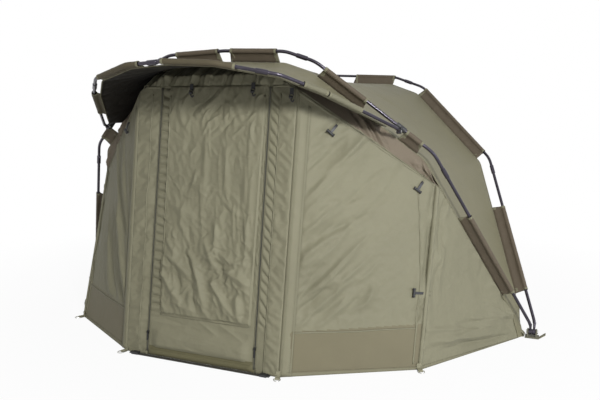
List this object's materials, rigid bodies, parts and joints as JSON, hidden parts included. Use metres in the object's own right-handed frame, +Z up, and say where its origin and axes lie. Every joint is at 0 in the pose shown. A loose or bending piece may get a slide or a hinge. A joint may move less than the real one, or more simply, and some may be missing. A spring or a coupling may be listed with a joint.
{
  "type": "bivvy tent",
  "caption": "Two-rib fishing bivvy tent with folding pole ribs pivoting on ground hubs, a peaked front visor, zipped front door panels and pegging rings.",
  "frame": {"origin": "centre of the whole footprint's bounding box, on the ground", "axes": "+X to the tent's right as seen from the front (across the two hubs), +Y to the rear, +Z up; the door faces -Y"},
  "size_m": [2.9486, 2.666, 1.4512],
  "materials": {
    "cloth": "coated nylon, matte",
    "dark_cloth": "coated nylon, matte",
    "webbing": "woven webbing",
    "pole": "dark anodised, satin",
    "plastic": "moulded, matte",
    "steel": "satin plated"
  },
  "bodies": {
    "base": {"hub_left": "plastic", "hub_right": "plastic", "hub_bolt_left": "steel", "hub_bolt_right": "steel", "peg_tab_left": "webbing", "peg_tab_right": "webbing", "rear_panel": "cloth"},
    "rear_rib": {"rear_pole_lower_left": "pole", "rear_pole_lower_right": "pole", "rear_pole_shoulder_left": "pole", "rear_pole_shoulder_right": "pole", "rear_pole_crown": "pole", "rear_sleeve_band": "dark_cloth", "roof_panel": "cloth"},
    "front_rib": {"front_pole_lower_left": "pole", "front_pole_lower_right": "pole", "front_pole_shoulder_left": "pole", "front_pole_shoulder_right": "pole", "front_pole_crown": "pole", "front_sleeve_band": "dark_cloth", "visor_bracket_left": "plastic", "visor_bracket_right": "plastic", "visor_pin_left": "steel", "visor_pin_right": "steel", "wing_left": "cloth", "wing_right": "cloth", "front_panel_left": "cloth", "front_panel_right": "cloth", "vent_left": "dark_cloth", "vent_right": "dark_cloth", "header_panel": "cloth", "door_panel": "cloth", "sill_strap": "webbing", "buckle_left": "plastic", "buckle_right": "plastic"},
    "visor": {"visor_pole_left": "pole", "visor_pole_mid_left": "pole", "visor_pole_mid_right": "pole", "visor_pole_right": "pole", "visor_sleeve_band": "dark_cloth", "visor_panel": "cloth"},
    "zip_slider_left": {"zip_slider_left": "steel"},
    "zip_pull_left": {"zip_pull_left": "steel"},
    "zip_slider_right": {"zip_slider_right": "steel"},
    "zip_pull_right": {"zip_pull_right": "steel"},
    "front_ring_outer_left": {"front_ring_outer_left": "steel"},
    "front_ring_outer_right": {"front_ring_outer_right": "steel"},
    "front_ring_inner_left": {"front_ring_inner_left": "steel"},
    "front_ring_inner_right": {"front_ring_inner_right": "steel"},
    "rear_ring_outer_left": {"rear_ring_outer_left": "steel"},
    "rear_ring_outer_right": {"rear_ring_outer_right": "steel"},
    "rear_ring_inner_left": {"rear_ring_inner_left": "steel"},
    "rear_ring_inner_right": {"rear_ring_inner_right": "steel"},
    "toggle_upper_left": {"toggle_upper_left": "plastic"},
    "toggle_upper_right": {"toggle_upper_right": "plastic"},
    "toggle_corner_right": {"toggle_corner_right": "plastic"},
    "toggle_window_right": {"toggle_window_right": "plastic"},
    "buckle_tongue_left": {"buckle_tongue_left": "plastic"},
    "buckle_tongue_right": {"buckle_tongue_right": "plastic"}
  },
  "joints": [
    {"name": "rear_fold", "type": "hinge", "parent": "base", "child": "rear_rib", "pos_m": [0, -0.14712, 0.03], "axis": [-1, 0, 0], "range_deg": [0, 51.5], "deforming": ["rear_panel"]},
    {"name": "front_fold", "type": "hinge", "parent": "rear_rib", "child": "front_rib", "pos_m": [0, -0.14712, 0.03], "axis": [-1, 0, 0], "range_deg": [0, 55], "deforming": ["roof_panel", "wing_left", "wing_right", "front_panel_left", "front_panel_right", "vent_left", "vent_right", "header_panel", "door_panel"]},
    {"name": "visor_fold", "type": "hinge", "parent": "front_rib", "child": "visor", "pos_m": [0, -0.6917, 1.0691], "axis": [-1, 0, 0], "range_deg": [0, 39], "deforming": ["visor_panel"]},
    {"name": "zip_left", "type": "slide", "parent": "front_rib", "child": "zip_slider_left", "axis": [0, 0.1532, 0.9882], "range_m": [0, 1.18]},
    {"name": "zip_pull_swing_left", "type": "hinge", "parent": "zip_slider_left", "child": "zip_pull_left", "pos_m": [-0.287, -1.11207, 0.11006], "axis": [-1, 0, 0], "range_deg": [0, 150]},
    {"name": "zip_right", "type": "slide", "parent": "front_rib", "child": "zip_slider_right", "axis": [0, 0.1532, 0.9882], "range_m": [0, 1.18]},
    {"name": "zip_pull_swing_right", "type": "hinge", "parent": "zip_slider_right", "child": "zip_pull_right", "pos_m": [0.287, -1.11207, 0.11006], "axis": [-1, 0, 0], "range_deg": [0, 150]},
    {"name": "front_ring_outer_left_lift", "type": "hinge", "parent": "front_rib", "child": "front_ring_outer_left", "pos_m": [-0.97154, -0.81579, 0.0041], "axis": [-0.8589, 0.5121, 0], "range_deg": [0, 85]},
    {"name": "front_ring_outer_right_lift", "type": "hinge", "parent": "front_rib", "child": "front_ring_outer_right", "pos_m": [0.97154, -0.81579, 0.0041], "axis": [-0.8589, -0.5121, 0], "range_deg": [0, 85]},
    {"name": "front_ring_inner_left_lift", "type": "hinge", "parent": "front_rib", "child": "front_ring_inner_left", "pos_m": [-0.4147, -1.14664, 0.0041], "axis": [-0.9641, 0.2656, 0], "range_deg": [0, 85]},
    {"name": "front_ring_inner_right_lift", "type": "hinge", "parent": "front_rib", "child": "front_ring_inner_right", "pos_m": [0.4147, -1.14664, 0.0041], "axis": [-0.9641, -0.2656, 0], "range_deg": [0, 85]},
    {"name": "rear_ring_outer_left_lift", "type": "hinge", "parent": "base", "child": "rear_ring_outer_left", "pos_m": [-1.2285, 0.58752, 0.0041], "axis": [0.4542, 0.8909, 0], "range_deg": [0, 85]},
    {"name": "rear_ring_outer_right_lift", "type": "hinge", "parent": "base", "child": "rear_ring_outer_right", "pos_m": [1.2285, 0.58752, 0.0041], "axis": [0.4542, -0.8909, 0], "range_deg": [0, 85]},
    {"name": "rear_ring_inner_left_lift", "type": "hinge", "parent": "base", "child": "rear_ring_inner_left", "pos_m": [-0.54285, 1.30814, 0.0041], "axis": [0.9188, 0.3946, 0], "range_deg": [0, 85]},
    {"name": "rear_ring_inner_right_lift", "type": "hinge", "parent": "base", "child": "rear_ring_inner_right", "pos_m": [0.54285, 1.30814, 0.0041], "axis": [0.9188, -0.3946, 0], "range_deg": [0, 85]},
    {"name": "toggle_upper_left_swing", "type": "hinge", "parent": "front_rib", "child": "toggle_upper_left", "pos_m": [-0.56548, -0.82995, 1.09766], "axis": [-0.7632, 0.6338, -0.1257], "range_deg": [0, 70]},
    {"name": "toggle_upper_right_swing", "type": "hinge", "parent": "front_rib", "child": "toggle_upper_right", "pos_m": [0.56548, -0.82995, 1.09766], "axis": [-0.7632, -0.6338, 0.1257], "range_deg": [0, 70]},
    {"name": "toggle_corner_right_swing", "type": "hinge", "parent": "front_rib", "child": "toggle_corner_right", "pos_m": [0.90471, -0.58578, 0.83097], "axis": [-0.7402, -0.6432, 0.1961], "range_deg": [0, 70]},
    {"name": "toggle_window_right_swing", "type": "hinge", "parent": "front_rib", "child": "toggle_window_right", "pos_m": [0.91707, -0.71319, 0.35625], "axis": [-0.8117, -0.5571, 0.1753], "range_deg": [0, 70]},
    {"name": "buckle_tongue_left_slide", "type": "slide", "parent": "front_rib", "child": "buckle_tongue_left", "axis": [-1, 0, 0], "range_m": [0, 0.018]},
    {"name": "buckle_tongue_right_slide", "type": "slide", "parent": "front_rib", "child": "buckle_tongue_right", "axis": [1, 0, 0], "range_m": [0, 0.018]}
  ],
  "couplings": [
    {"joint": "front_fold", "follows": "rear_fold", "ratio": 1.066}
  ]
}
